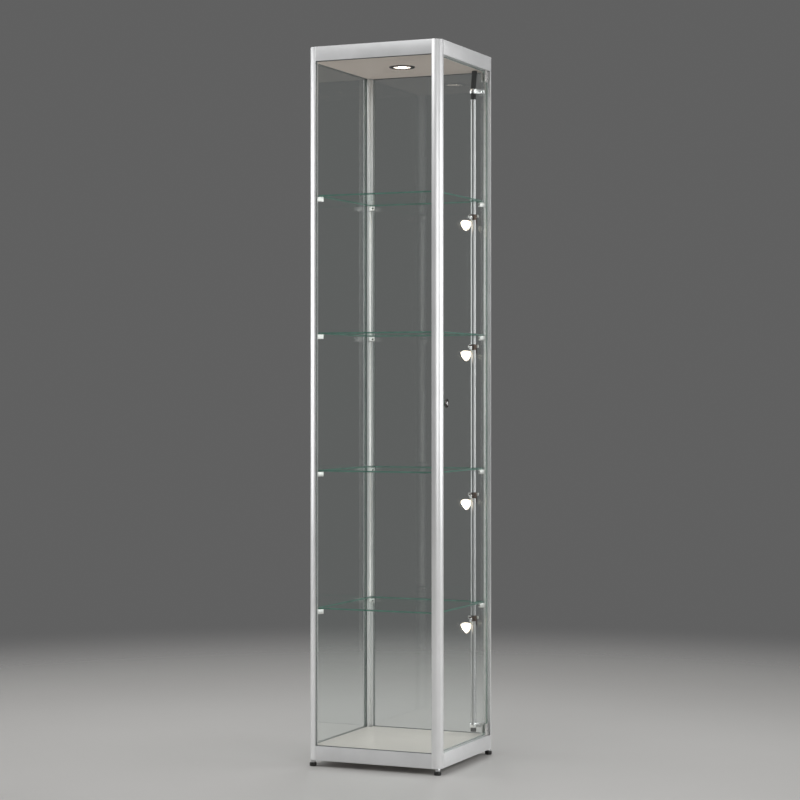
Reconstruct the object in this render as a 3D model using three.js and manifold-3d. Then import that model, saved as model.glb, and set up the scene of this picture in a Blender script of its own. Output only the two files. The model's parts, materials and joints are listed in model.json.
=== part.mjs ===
// Tower display case: an aluminium frame, glass on three sides, a glass door on the fourth,
// four glass shelves, a vertical light rail with four small spotlights, and a downlight above.
// Millimetres. +Z is up, the front faces -Y and the door is on the +X side.
// The floor is at z = 0, and the case's middle axis is the Z axis.
import * as THREE from 'three';
import { mergeVertices } from 'three/addons/utils/BufferGeometryUtils.js';
import Module from 'manifold-3d';

const wasm = await Module();
wasm.setup();

// ---- driving dimensions ----
const caseWidth = 400;
const caseHeight = 2000;
const footHeight = 18;
const railHeight = 40;
const fit = 0.3; // clearance between pieces that slide together
const half = caseWidth / 2;

const post = { leg: 25, depth: 16, slotDepth: 6, portRadius: 2.9, portInset: 12 };
const pane = { outer: 197.3, thick: 6, edgeGap: 0.5 }; // outer: from the axis to the outer face
const lip = { outer: 2.4, inner: 1.6, deep: 7 }; // the lips that hold a pane, and the groove's depth
const board = { thick: 16, notch: 174.7 }; // deck and ceiling boards
const cover = { thick: 3, ledge: 2 };
const chamberWall = 2; // round the hollow of a rail beside a fixed pane
const doorRail = { depth: 25, wall: 2.5, hingeHoleDeep: 4 };

const shelf = { half: 180, thick: 5, pitch: 383, count: 4, chamfer: 6, railHole: 12 };
const lug = { high: 13.5, reach: 11.5, strip: 5 };

const door = { inner: 186, thick: 6, front: -174, back: 172, gap: 3 };
const clampNotch = { long: 24, high: 6.5 }; // cut from the door's glass at each pivot
const hinge = { y: 165, length: 31.5, wide: 22.5, thick: 13, endGap: 0.5 };
const pivotPin = { radius: 2.5, hole: 3, length: 14, collar: 4.5, collarHigh: 2.2 };
const lock = { y: -138, z: 1010, hole: 9.5 };

const rail = { x: 155, y: 155, radius: 7.9, bore: 6.2, bottom: 80, top: 1878 };
const bracket = { high: 13, ring: 10.8, arm: 9, bottom: 80.5, top: 1895.5, postGap: 0.6 };
const bracketBore = { bottom: 8.3, top: 8.6 }; // the top one also passes the feed lead
const railCap = { low: 68, chamfer: 1, tip: 7.2, radius: 8.2, spigot: 10 };
const lead = { radius: 7.4, topX: 158.5, topY: 156.3, end: 1979, hole: 10 };
const lampHeights = [389, 741, 1165, 1537]; // of the tilt pins, from the lowest lamp up
const clip = { bore: 8.3, ring: 10.9, low: -4, high: 12, knuckle: 23 };
const tongue = { low: -16, front: -3 }; // the clip's half ring, which grips the rail's back
const ear = { reach: 16, low: 2.5, high: 10.5, halfWide: 2 };
const yokePlate = { low: 6.8, high: 9.8, halfWide: 5, hole: 1.9 };
const yoke = { stud: 1.5, nut: 3.1, nutHigh: 2, cheekIn: 2.1, cheekThick: 2, cheek: 3.4, shoulder: 4.8 };
const tiltPin = { radius: 1, hole: 1.3, half: 4, eye: 2.6, eyeHalf: 1.7 };
const lampDrop = 10; // from the tilt pin to the lamp's own axis
const aimDown = THREE.MathUtils.degToRad(30);
const aimTurn = THREE.MathUtils.degToRad(225); // the lamps look at the middle of the case

const downlight = { rim: 36.5, rimHigh: 3, can: 30, wall: 1.5, mouth: 25.2, lens: 28.2, top: 1990 };
const lensLevel = { low: 4.2, high: 7 }; // above the ceiling's face
const transformer = { x: -30, y: 100, half: 75, wide: 19, earHalf: 82, earWide: 10, screw: 2 };
const outlet = { x: -120, y: 150, radius: 6 }; // where a mains lead would come out of the cover
const foot = { pad: 10, padHigh: 9, shoulder: 8.6, neck: 7.5, stud: 2.4, studTop: 42 };

const frameBottom = footHeight;
const baseTop = footHeight + railHeight;
const ceilingLow = caseHeight - railHeight;
const legStart = half - post.leg;
const legInner = half - post.depth;
const paneInner = pane.outer - pane.thick;
const boardHalf = half - lip.outer - pane.thick - lip.inner - 2 * fit - fit;

// ---- finishes ----
const finish = (color, roughness, metalness) => (
  new THREE.MeshStandardMaterial({ color, roughness, metalness }));
const clear = (color) => {
  const glass = finish(color, 0.05, 0);
  glass.transparent = true;
  glass.opacity = 0.3;
  return glass;
};
const look = {
  post: finish(0xe4e5e6, 0.25, 0.9),
  rail: finish(0xb4b4b6, 0.42, 0.85),
  pane: clear(0xcfe3dc),
  shelf: clear(0xa9d4c2),
  board: finish(0xe9e7e2, 0.5, 0),
  ceiling: finish(0xd9cfc0, 0.6, 0),
  cover: finish(0xb8b9bb, 0.5, 0.7),
  support: finish(0xc9c7c4, 0.35, 0.8),
  tube: finish(0xd2d3d3, 0.3, 0.9),
  chrome: finish(0xdedede, 0.12, 1),
  black: finish(0x121110, 0.55, 0),
  clip: finish(0x3a2d26, 0.4, 0.5),
  lamp: finish(0xfff8ec, 0.15, 0),
  lens: finish(0xfff4e0, 0.3, 0),
  can: finish(0x57534f, 0.3, 0.8),
  box: finish(0xe8e8e6, 0.6, 0),
};

// ---- solids ----
function toSolid(geometry) {
  const bare = geometry.index ? geometry.toNonIndexed() : geometry.clone();
  bare.deleteAttribute('normal');
  bare.deleteAttribute('uv');
  const merged = mergeVertices(bare, 1e-4);
  const vertProperties = new Float32Array(merged.attributes.position.array);
  const triVerts = new Uint32Array(merged.index.array);
  return new wasm.Manifold(new wasm.Mesh({ numProp: 3, vertProperties, triVerts }));
}

function toGeometry(solid) {
  const mesh = solid.getMesh();
  const geometry = new THREE.BufferGeometry();
  geometry.setAttribute('position', new THREE.BufferAttribute(new Float32Array(mesh.vertProperties), 3));
  geometry.setIndex(new THREE.BufferAttribute(new Uint32Array(mesh.triVerts), 1));
  return geometry;
}

function join(...geometries) {
  return toGeometry(geometries.map(toSolid).reduce((a, b) => a.add(b)));
}

function cut(geometry, ...tools) {
  return toGeometry(tools.map(toSolid).reduce((a, b) => a.subtract(b), toSolid(geometry)));
}

// ---- basic shapes ----
function block(x0, x1, y0, y1, z0, z1) {
  const box = new THREE.BoxGeometry(x1 - x0, y1 - y0, z1 - z0);
  return box.translate((x0 + x1) / 2, (y0 + y1) / 2, (z0 + z1) / 2);
}

function outline(points) {
  return new THREE.Shape(points.map(([x, y]) => new THREE.Vector2(x, y)));
}

function circleHole(x, y, radius) {
  return new THREE.Path().absarc(x, y, radius, 0, 2 * Math.PI, true);
}

function boxHole(x0, x1, y0, y1) {
  return new THREE.Path([[x0, y0], [x0, y1], [x1, y1], [x1, y0]].map(([x, y]) => new THREE.Vector2(x, y)));
}

function prism(shape, z0, z1, curveSegments = 12) {
  const solid = new THREE.ExtrudeGeometry(shape, { depth: z1 - z0, bevelEnabled: false, curveSegments });
  return solid.translate(0, 0, z0);
}

function disc(radius, z0, z1, sides = 20) {
  const solid = new THREE.CylinderGeometry(radius, radius, z1 - z0, sides);
  return solid.rotateX(Math.PI / 2).translate(0, 0, (z0 + z1) / 2);
}

// profile: [radius, height] pairs from axis to axis, counter-clockwise
function turned(profile, sides = 24) {
  const points = profile.map(([r, z]) => new THREE.Vector2(r, z));
  return new THREE.LatheGeometry(points, sides).rotateX(Math.PI / 2);
}

function ring(bore, radius, z0, z1, sides = 10) {
  const shape = new THREE.Shape().absarc(0, 0, radius, 0, 2 * Math.PI, false);
  shape.holes.push(circleHole(0, 0, bore));
  return prism(shape, z0, z1, sides);
}

const caseGroup = new THREE.Group();

function place(name, geometry, material, parent = caseGroup) {
  const mesh = new THREE.Mesh(geometry, material);
  mesh.name = name;
  parent.add(mesh);
  return mesh;
}

// A group turned by quarter turns about the case's axis: 0 keeps the back right corner or the right side.
function quarter(turns) {
  const group = new THREE.Group();
  group.rotation.z = turns * Math.PI / 2;
  caseGroup.add(group);
  return group;
}

const corners = [['back_right', 0], ['back_left', 1], ['front_left', 2], ['front_right', 3]];

// ---- corner posts: an L section, round outside, with a pane slot in each leg and a port ----
function postShape() {
  const slotOut = half - lip.outer;
  const slotIn = slotOut - pane.thick - 2 * fit;
  const slotEnd = legStart + post.slotDepth;
  const port = half - post.portInset;
  const shape = new THREE.Shape();
  shape.moveTo(legInner, legInner);
  shape.lineTo(legInner, legStart);
  shape.lineTo(slotIn, legStart);
  shape.lineTo(slotIn, slotEnd);
  shape.lineTo(slotOut, slotEnd);
  shape.lineTo(slotOut, legStart);
  shape.lineTo(half, legStart);
  shape.absarc(legStart, legStart, post.leg, 0, Math.PI / 2, false);
  shape.lineTo(legStart, slotOut);
  shape.lineTo(slotEnd, slotOut);
  shape.lineTo(slotEnd, slotIn);
  shape.lineTo(legStart, slotIn);
  shape.lineTo(legStart, legInner);
  shape.holes.push(circleHole(port, port, post.portRadius));
  return shape;
}

// ---- shelf supports: four lugs on a thin strip that lies in the inner corner of each post ----
function supportStrip() {
  const c = legInner - fit;
  const side = legStart;
  const lugShape = outline([[c, c], [side, c], [side - lug.reach, c - lug.reach],
    [c - lug.reach, side - lug.reach], [c, side]]);
  const stripShape = outline([[c, c], [c - lug.strip, c], [c, c - lug.strip]]);
  const undersides = shelfTops.map((top) => top - shelf.thick);
  const lugs = undersides.map((z) => prism(lugShape, z - lug.high, z));
  return join(prism(stripShape, undersides[0] - lug.high, undersides.at(-1) - 1), ...lugs);
}

const shelfTops = Array.from({ length: shelf.count }, (_, i) => baseTop + shelf.pitch * (i + 1));

for (const [corner, turns] of corners) {
  const group = quarter(turns);
  place(`post_${corner}`, prism(postShape(), frameBottom, caseHeight, 8), look.post, group);
  place(`shelf_supports_${corner}`, supportStrip(), look.support, group);
}

// ---- rails: depth inwards and height upwards; the same section lies turned over at the top ----
function paneRailShape() {
  const grooveIn = lip.outer + pane.thick + 2 * fit;
  const innerLip = grooveIn + lip.inner;
  const shelfHeight = railHeight - board.thick;
  const shape = outline([[0, 0], [post.depth - cover.ledge, 0], [post.depth - cover.ledge, cover.thick],
    [post.depth, cover.thick], [post.depth, shelfHeight], [innerLip, shelfHeight], [innerLip, railHeight],
    [grooveIn, railHeight], [grooveIn, railHeight - lip.deep], [lip.outer, railHeight - lip.deep],
    [lip.outer, railHeight], [0, railHeight]]);
  const chamberIn = post.depth - cover.ledge - chamberWall;
  shape.holes.push(boxHole(chamberWall, chamberIn, chamberWall, shelfHeight - chamberWall));
  return shape;
}

function doorRailShape() {
  const { depth, wall } = doorRail;
  const shape = outline([[0, 0], [depth, 0], [depth, railHeight], [0, railHeight]]);
  shape.holes.push(boxHole(wall, depth - wall, wall, railHeight - wall));
  return shape;
}

// Lays a rail section along the right side of the case, from post to post.
function layRail(shape, top) {
  const geometry = prism(shape, -legStart, legStart);
  const up = top ? -1 : 1;
  const m = new THREE.Matrix4().set(
    -1, 0, 0, half,
    0, 0, up, 0,
    0, up, 0, top ? caseHeight : frameBottom,
    0, 0, 0, 1);
  return geometry.applyMatrix4(m);
}

const pivotX = door.inner + door.thick / 2;
for (const [side, turns] of [['right', 0], ['back', 1], ['left', 2], ['front', 3]]) {
  const group = quarter(turns);
  for (const level of ['base', 'top']) {
    const atTop = level === 'top';
    let geometry = layRail(side === 'right' ? doorRailShape() : paneRailShape(), atTop);
    if (side === 'right') {
      const face = atTop ? ceilingLow : baseTop;
      const deep = doorRail.hingeHoleDeep;
      const hole = disc(pivotPin.hole, face - (atTop ? 1 : deep), face + (atTop ? deep : 1), 16);
      geometry = cut(geometry, hole.translate(pivotX, hinge.y, 0));
    }
    place(`${level}_rail_${side}`, geometry, look.rail, group);
  }
}

// ---- boards between the rails, notched at the two left corners where the posts stand ----
function boardShape(reach) {
  const n = board.notch;
  return outline([[n, -reach], [n, reach], [-n, reach], [-n, n],
    [-reach, n], [-reach, -n], [-n, -n], [-n, -reach]]);
}

place('base_deck', prism(boardShape(boardHalf), baseTop - board.thick, baseTop), look.board);
const ceilingShape = boardShape(boardHalf);
ceilingShape.holes.push(circleHole(0, 0, downlight.can + 0.5));
ceilingShape.holes.push(circleHole(lead.topX, lead.topY, lead.hole));
place('ceiling_panel', prism(ceilingShape, ceilingLow, ceilingLow + board.thick, 10), look.ceiling);
const coverShape = boardShape(half - post.depth + cover.ledge - fit);
coverShape.holes.push(circleHole(outlet.x, outlet.y, outlet.radius));
place('top_cover', prism(coverShape, caseHeight - cover.thick, caseHeight, 6), look.cover);

// ---- fixed panes, held in the posts' slots and the rails' grooves ----
const paneHalf = legStart + post.slotDepth - pane.edgeGap;
const paneLow = baseTop - lip.deep + pane.edgeGap;
const paneHigh = ceilingLow + lip.deep - pane.edgeGap;
for (const [side, turns] of [['back_glass', 1], ['left_glass', 2], ['front_glass', 3]]) {
  const sheet = block(paneInner, pane.outer, -paneHalf, paneHalf, paneLow, paneHigh);
  place(side, sheet, look.pane, quarter(turns));
}

// ---- shelves ----
for (const [i, top] of shelfTops.entries()) {
  const h = shelf.half;
  const k = h - shelf.chamfer;
  const shape = outline([[h, -k], [h, k], [k, h], [-k, h], [-h, k], [-h, -k], [-k, -h], [k, -h]]);
  shape.holes.push(circleHole(rail.x, rail.y, shelf.railHole));
  place(`shelf_${i + 1}`, prism(shape, top - shelf.thick, top, 10), look.shelf);
}

// ---- glass door with its lock hole and a notch at each pivot ----
const doorLow = baseTop + door.gap;
const doorHigh = ceilingLow - door.gap;
const notchY = door.back - clampNotch.long;
const notchLow = doorLow + clampNotch.high;
const notchHigh = doorHigh - clampNotch.high;
const doorShape = outline([[door.front, doorLow], [notchY, doorLow], [notchY, notchLow],
  [door.back, notchLow], [door.back, notchHigh], [notchY, notchHigh],
  [notchY, doorHigh], [door.front, doorHigh]]);
doorShape.holes.push(circleHole(lock.y, lock.z, lock.hole));
const doorPane = prism(doorShape, door.inner, door.inner + door.thick, 10);
doorPane.applyMatrix4(new THREE.Matrix4().set(0, 0, 1, 0, 1, 0, 0, 0, 0, 1, 0, 0, 0, 0, 0, 1));
place('door_glass', doorPane, look.pane);

// ---- pivot hinges: a channel on the glass with its pin, which turns in a hole in the rail ----
// The clamp stands on z = 0, the face of the rail that it turns on.
function hingeClamp() {
  const low = pivotPin.collarHigh;
  const seat = door.gap + clampNotch.high - fit;
  const slot = door.thick / 2 + fit;
  const x = hinge.thick / 2;
  const y = hinge.wide / 2;
  const body = block(-x, x, -y, y, low, low + hinge.length);
  const channel = block(-slot, slot, -hinge.wide, hinge.wide, seat, 2 * hinge.length);
  const collar = disc(pivotPin.collar, fit, low + 1, 16);
  const pin = disc(pivotPin.radius, -pivotPin.length, low + 1, 16);
  const shift = hinge.y - (door.back - hinge.endGap - y);
  return join(cut(body, channel).translate(0, -shift, 0), collar, pin);
}
place('hinge_clamp_bottom', hingeClamp(), look.chrome).position.set(pivotX, hinge.y, baseTop);
const topClamp = hingeClamp().applyMatrix4(new THREE.Matrix4().makeScale(-1, 1, -1));
place('hinge_clamp_top', topClamp, look.chrome).position.set(pivotX, hinge.y, ceilingLow);

// ---- cam lock through the door, turned about X ----
// Heights in its profiles run outwards from the glass's outer face.
const lockGroup = new THREE.Group();
lockGroup.position.set(door.inner + door.thick, lock.y, lock.z);
lockGroup.rotation.y = Math.PI / 2;
caseGroup.add(lockGroup);
const barrel = { bore: 6.2, body: 9.2, low: -15.5, rim: 12.5, rimEdge: 2.6, rimBevel: 1.6, rimTop: 4.2 };
const nut = { outer: 12, high: -door.thick - fit, low: -10.5 };
place('lock_barrel', turned([[barrel.bore, barrel.low], [barrel.body, barrel.low],
  [barrel.body, nut.low], [nut.outer, nut.low], [nut.outer, nut.high], [barrel.body, nut.high],
  [barrel.body, fit], [barrel.rim, fit], [barrel.rim, barrel.rimEdge],
  [barrel.rim - barrel.rimBevel, barrel.rimTop], [barrel.bore, barrel.rimTop],
  [barrel.bore, barrel.low]], 22), look.can, lockGroup);

const camFace = { low: -18.2, high: -16.2, halfWide: 7, back: 8 };
const plug = { radius: 5.9, shank: 3, head: 4.8, end: -21.5, edge: 4.6, face: 5.4 };
const keyway = { half: 3.2, wide: 0.8, floor: 2.5 };
const plugSolid = turned([[0, plug.end], [plug.head, plug.end], [plug.head, camFace.low - fit],
  [plug.shank, camFace.low - fit], [plug.shank, camFace.high + fit], [plug.radius, camFace.high + fit],
  [plug.radius, plug.edge], [plug.edge, plug.face], [0, plug.face]], 16);
const keySlot = block(-keyway.half, keyway.half, -keyway.wide, keyway.wide, keyway.floor, plug.face + 1);
place('lock_plug', cut(plugSolid, keySlot), look.chrome, lockGroup);

// The cam points up when unlocked. It is cranked outwards: its tip lies close behind the front post.
const camPlate = (x0, x1, w, z0, z1) => block(-x1, -x0, -w, w, z0, z1);
const camTip = { low: -11.2, high: -9, start: 24, end: 40, halfWide: 6, thick: 2 };
const crankEnd = camTip.start + camTip.thick;
const camSolid = join(
  camPlate(-camFace.back, crankEnd, camFace.halfWide, camFace.low, camFace.high),
  camPlate(camTip.start, crankEnd, camTip.halfWide, camFace.low, camTip.high),
  camPlate(camTip.start, camTip.end, camTip.halfWide, camTip.low, camTip.high));
const shankHole = disc(plug.shank + fit, camFace.low - 1, camFace.high + 1, 12);
place('lock_cam', cut(camSolid, shankHole), look.support, lockGroup);

// ---- light rail: a tube on two brackets in the back right corner, capped below, fed from above ----
const railGroup = new THREE.Group();
railGroup.position.set(rail.x, rail.y, 0);
caseGroup.add(railGroup);
place('light_rail', ring(rail.bore, rail.radius, rail.bottom, rail.top, 12), look.tube, railGroup);
const capTop = rail.bottom - fit;
const spigotTop = rail.bottom + railCap.spigot;
place('rail_cap_bottom', turned([[0, railCap.low], [railCap.tip, railCap.low],
  [railCap.radius, railCap.low + railCap.chamfer], [railCap.radius, capTop],
  [rail.bore - fit, capTop], [rail.bore - fit, spigotTop], [0, spigotTop]]), look.black, railGroup);

function railBracket(bore, z0) {
  const reach = (legInner - rail.x) * Math.SQRT2 - bracket.postGap;
  const w = bracket.arm / 2;
  const root = bracket.ring - 1;
  const z1 = z0 + bracket.high;
  const arm = outline([[root, -w], [reach - w, -w], [reach, 0], [reach - w, w], [root, w]]);
  const solid = join(disc(bracket.ring, z0, z1, 28), prism(arm, z0, z1));
  return cut(solid, disc(bore, z0 - 1, z1 + 1, 24)).rotateZ(Math.PI / 4);
}
place('rail_bracket_bottom', railBracket(bracketBore.bottom, bracket.bottom), look.chrome, railGroup);
place('rail_bracket_top', railBracket(bracketBore.top, bracket.top), look.chrome, railGroup);

// The lead rises out of the tube and leans over to its hole in the ceiling.
const leadPath = new THREE.CatmullRomCurve3([
  [rail.x, rail.y, rail.top + fit],
  [rail.x, rail.y, 1895],
  [rail.x + 0.2, rail.y, 1912],
  [rail.x + 1.5, rail.y + 0.5, 1935],
  [lead.topX, lead.topY, ceilingLow],
  [lead.topX + 0.5, lead.topY + 0.2, lead.end],
].map((p) => new THREE.Vector3(...p)));
const leadSection = new THREE.Shape().absarc(0, 0, lead.radius, 0, 2 * Math.PI, false);
const leadSolid = new THREE.ExtrudeGeometry(leadSection, {
  steps: 10,
  curveSegments: 6,
  extrudePath: leadPath,
});
place('rail_feed_lead', leadSolid, look.black);

// ---- spotlights: a clip slides on the rail, a yoke swivels under it, and the socket tilts ----
// The rail's axis is the origin, and +X points to the yoke.
function clipSolid() {
  const ears = block(-ear.halfWide, ear.halfWide, -ear.reach, ear.reach, ear.low, ear.high);
  const grip = cut(disc(clip.ring, tongue.low, clip.low + 1, 20),
    block(tongue.front, clip.ring + 1, -clip.ring - 1, clip.ring + 1, tongue.low - 1, clip.low));
  const w = yokePlate.halfWide;
  const plate = new THREE.Shape();
  plate.moveTo(clip.bore, -w);
  plate.lineTo(clip.knuckle, -w);
  plate.absarc(clip.knuckle, 0, w, -Math.PI / 2, Math.PI / 2, false);
  plate.lineTo(clip.bore, w);
  plate.holes.push(circleHole(clip.knuckle, 0, yokePlate.hole));
  const collar = disc(clip.ring, clip.low, clip.high, 20);
  const solid = join(collar, prism(plate, yokePlate.low, yokePlate.high, 5), ears, grip);
  return cut(solid, disc(clip.bore, tongue.low - 1, clip.high + 1, 20));
}

// One side of the yoke, in the XZ plane.
function cheek(y0) {
  const shape = new THREE.Shape().absarc(0, 0, yoke.cheek, Math.PI, 2 * Math.PI, false);
  shape.lineTo(yoke.cheek - 1, 5).lineTo(1 - yoke.cheek, 5);
  shape.holes.push(circleHole(0, 0, tiltPin.hole));
  return prism(shape, 0, yoke.cheekThick, 5).rotateX(Math.PI / 2).translate(0, y0 + yoke.cheekThick, 0);
}

// The tilt pin's middle is the origin.
function yokeSolid() {
  const top = yokePlate.low - fit;
  const cheeks = [cheek(yoke.cheekIn), cheek(-yoke.cheekIn - yoke.cheekThick)];
  const shoulder = disc(yoke.shoulder, 4.2, top, 14);
  const stud = disc(yoke.stud, top - 1, yokePlate.high + 1, 10);
  const nutOnTop = disc(yoke.nut, yokePlate.high + fit, yokePlate.high + yoke.nutHigh, 10);
  return join(...cheeks, shoulder, stud, nutOnTop);
}

// Local Z is the beam's direction here, the tilt pin lies along Y, and the lamp hangs at +X.
const cup = { low: -2, top: 6, floor: 0, foot: 3.6, shoulderHigh: -0.6, radius: 5, bore: 3.7 };
function socketSolid() {
  const eye = disc(tiltPin.eye, -tiltPin.eyeHalf, tiltPin.eyeHalf, 14).rotateX(Math.PI / 2);
  const pin = disc(tiltPin.radius, -tiltPin.half, tiltPin.half, 10).rotateX(Math.PI / 2);
  const arm = block(0, lampDrop - cup.radius + 0.8, -1.7, 1.7, -1.2, 1.2);
  const body = turned([[0, cup.low], [cup.foot, cup.low], [cup.radius, cup.shoulderHigh],
    [cup.radius, cup.top], [cup.bore, cup.top], [cup.bore, cup.floor], [0, cup.floor]], 16);
  return join(eye, pin, arm, body.translate(lampDrop, 0, 0));
}

// A reflector lamp with a closed front: neck, bell, rim and front glass.
const lampProfile = [[0, 0.3], [3.4, 0.3], [3.4, 6.3], [6.6, 8.5], [11, 14], [14.6, 20.5],
  [16.4, 26], [16.7, 28], [16, 28.6], [8, 29.3], [0, 29.6]];

for (const [i, height] of lampHeights.entries()) {
  const carrier = new THREE.Group();
  carrier.position.set(rail.x, rail.y, height);
  carrier.rotation.z = -Math.PI / 2; // the clip's plate points to the front
  caseGroup.add(carrier);
  place(`lamp_clip_${i + 1}`, clipSolid(), look.clip, carrier);
  const knuckle = new THREE.Group();
  knuckle.position.set(rail.x, rail.y - clip.knuckle, height);
  knuckle.rotation.z = aimTurn;
  caseGroup.add(knuckle);
  place(`lamp_yoke_${i + 1}`, yokeSolid(), look.chrome, knuckle);
  const head = new THREE.Group();
  head.rotation.y = Math.PI / 2 + aimDown;
  knuckle.add(head);
  place(`lamp_socket_${i + 1}`, socketSolid(), look.clip, head);
  const bulb = turned(lampProfile, 20).translate(lampDrop, 0, 0);
  place(`lamp_bulb_${i + 1}`, bulb, look.lamp, head);
}

// ---- downlight in the ceiling, and its transformer above ----
const low = ceilingLow;
const canIn = downlight.can - downlight.wall;
place('downlight_body', turned([[downlight.mouth, low - 1.8], [27, low - downlight.rimHigh],
  [35, low - downlight.rimHigh], [downlight.rim, low - downlight.rimHigh / 2], [downlight.rim, low],
  [downlight.can, low], [downlight.can, downlight.top], [0, downlight.top],
  [0, downlight.top - downlight.wall], [canIn, downlight.top - downlight.wall], [canIn, low + 4],
  [downlight.mouth, low + 4], [downlight.mouth, low - 1.8]], 36), look.can);
place('downlight_lens', turned([[0, low + lensLevel.low], [downlight.lens, low + lensLevel.low],
  [downlight.lens, low + lensLevel.high], [0, low + lensLevel.high]], 32), look.lens);

const { half: boxHalf, wide, earHalf, earWide } = transformer;
const boxShape = outline([[-boxHalf, -wide], [boxHalf, -wide], [boxHalf, -earWide],
  [earHalf, -earWide], [earHalf, earWide], [boxHalf, earWide], [boxHalf, wide], [-boxHalf, wide],
  [-boxHalf, earWide], [-earHalf, earWide], [-earHalf, -earWide], [-boxHalf, -earWide]]);
const earMiddle = (boxHalf + earHalf) / 2;
for (const x of [-earMiddle, earMiddle]) {
  boxShape.holes.push(circleHole(x, 0, transformer.screw));
}
const boxSolid = prism(boxShape, low + board.thick, caseHeight - cover.thick - 2, 5);
place('transformer', boxSolid, look.box).position.set(transformer.x, transformer.y, 0);

// ---- levelling feet: a pad and a stud that screws up into each post's port ----
const footProfile = [[0, 0], [foot.pad - 0.8, 0], [foot.pad, 0.8], [foot.pad, foot.padHigh],
  [foot.shoulder, 10.5], [foot.neck, 10.8], [foot.neck, footHeight], [foot.stud, footHeight],
  [foot.stud, foot.studTop], [0, foot.studTop]];
for (const [corner, turns] of corners) {
  const mesh = place(`foot_${corner}`, turned(footProfile, 18), look.black, quarter(turns));
  mesh.position.set(half - post.portInset, half - post.portInset, 0);
}

export default caseGroup;
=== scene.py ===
import json
from math import cos, pi, radians, sin, sqrt

import bmesh
import bpy
from mathutils import Matrix, Vector
from mathutils.geometry import tessellate_polygon


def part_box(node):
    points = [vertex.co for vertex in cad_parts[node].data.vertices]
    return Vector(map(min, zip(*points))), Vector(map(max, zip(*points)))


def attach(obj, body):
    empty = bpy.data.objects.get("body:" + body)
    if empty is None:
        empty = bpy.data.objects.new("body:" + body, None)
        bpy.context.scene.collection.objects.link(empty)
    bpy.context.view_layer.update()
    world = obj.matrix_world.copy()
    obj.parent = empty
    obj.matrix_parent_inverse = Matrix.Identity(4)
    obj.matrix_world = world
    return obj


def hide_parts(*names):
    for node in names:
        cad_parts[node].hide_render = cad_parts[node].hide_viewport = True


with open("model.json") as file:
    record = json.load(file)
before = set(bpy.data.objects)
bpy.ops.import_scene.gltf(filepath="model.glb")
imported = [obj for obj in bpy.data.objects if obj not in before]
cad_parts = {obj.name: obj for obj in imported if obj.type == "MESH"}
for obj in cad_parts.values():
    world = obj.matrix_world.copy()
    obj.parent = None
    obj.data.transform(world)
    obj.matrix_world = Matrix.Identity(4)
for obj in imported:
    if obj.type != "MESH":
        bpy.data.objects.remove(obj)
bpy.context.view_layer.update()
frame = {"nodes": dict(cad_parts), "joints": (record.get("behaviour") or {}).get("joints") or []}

scene = bpy.context.scene
mm = 0.001
turn = 2 * pi
quarter = turn / 4


# where things are, from the frame

def lowOf(node):
    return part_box(node)[0]


def highOf(node):
    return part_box(node)[1]


def middleOf(node):
    low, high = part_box(node)
    return (low + high) / 2


def jointAt(name):
    return Vector(next(joint for joint in frame["joints"] if joint["name"] == name)["pos_m"])


halfWidth = highOf("post_back_right").x
caseTop = highOf("post_back_right").z
frameLow = lowOf("post_back_right").z
deckTop = highOf("base_deck").z
ceilingLow = lowOf("ceiling_panel").z
legStart = lowOf("post_back_right").x
legInner = lowOf("base_rail_back").y
railDepth = halfWidth - legInner
shelfNodes = ["shelf_1", "shelf_2", "shelf_3", "shelf_4"]
shelfLows = [lowOf(node).z for node in shelfNodes]
railAxis = middleOf("light_rail")
quarterTurns = {"back_right": 0, "back_left": 1, "front_left": 2, "front_right": 3}
sideTurns = {"right": 0, "back": 1, "left": 2, "front": 3}


# camera; rise shifts the picture without tilting the uprights

cameraView = {"azimuth": 23.73, "distance": 6.211, "aside": -6 * mm, "height": 1.048, "lens": 98.8,
    "rise": -0.0132}


def looseObject(data, name):
    made = bpy.data.objects.new(name, data)
    scene.collection.objects.link(made)
    return made


def setCamera(view):
    data = bpy.data.cameras.new("camera")
    data.lens = view["lens"]
    data.shift_y = view["rise"]
    data.clip_end = 200
    camera = looseObject(data, "camera")
    angle = radians(view["azimuth"])
    across = Vector((cos(angle), sin(angle), 0))
    away = Vector((-sin(angle), cos(angle), 0))
    camera.location = across * view["aside"] - away * view["distance"] + Vector((0, 0, view["height"]))
    camera.rotation_euler = (quarter, 0, angle)
    scene.camera = camera


setCamera(cameraView)
print("camera set")


# node building

def operator(operation):
    def forward(self, other):
        return self.math(operation, self, other)

    def reflected(self, other):
        return self.math(operation, other, self)

    return forward, reflected


class Wire:
    # A node's output. Plain arithmetic on it adds Math nodes.
    def __init__(self, tree, socket):
        self.tree = tree
        self.socket = socket

    def math(self, operation, *values):
        return addNode(self.tree, "ShaderNodeMath", {"operation": operation}, dict(enumerate(values)))

    __add__, __radd__ = operator("ADD")
    __sub__, __rsub__ = operator("SUBTRACT")
    __mul__, __rmul__ = operator("MULTIPLY")
    __pow__, __rpow__ = operator("POWER")

    def unsigned(self):
        return self.math("ABSOLUTE", self)

    def over(self, edge, width):
        # 0 below edge and 1 above edge + width, with a soft step between
        settings = {"interpolation_type": "SMOOTHSTEP"}
        return addNode(self.tree, "ShaderNodeMapRange", settings, {0: self, 1: edge, 2: edge + width})


def addNode(tree, kind, settings=None, inputs=None, out=0):
    # a list of wires goes to a socket that takes several
    node = tree.nodes.new(kind)
    for key, value in (settings or {}).items():
        setattr(node, key, value)
    for key, value in (inputs or {}).items():
        wires = value if isinstance(value, list) else [value]
        if isinstance(wires[0], Wire):
            for wire in wires:
                tree.links.new(wire.socket, node.inputs[key])
        else:
            node.inputs[key].default_value = value
    return Wire(tree, node.outputs[out]) if node.outputs else node


def startFinish(name):
    material = bpy.data.materials.new(name)
    material.use_nodes = True
    material.node_tree.nodes.clear()
    return material, material.node_tree


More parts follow.
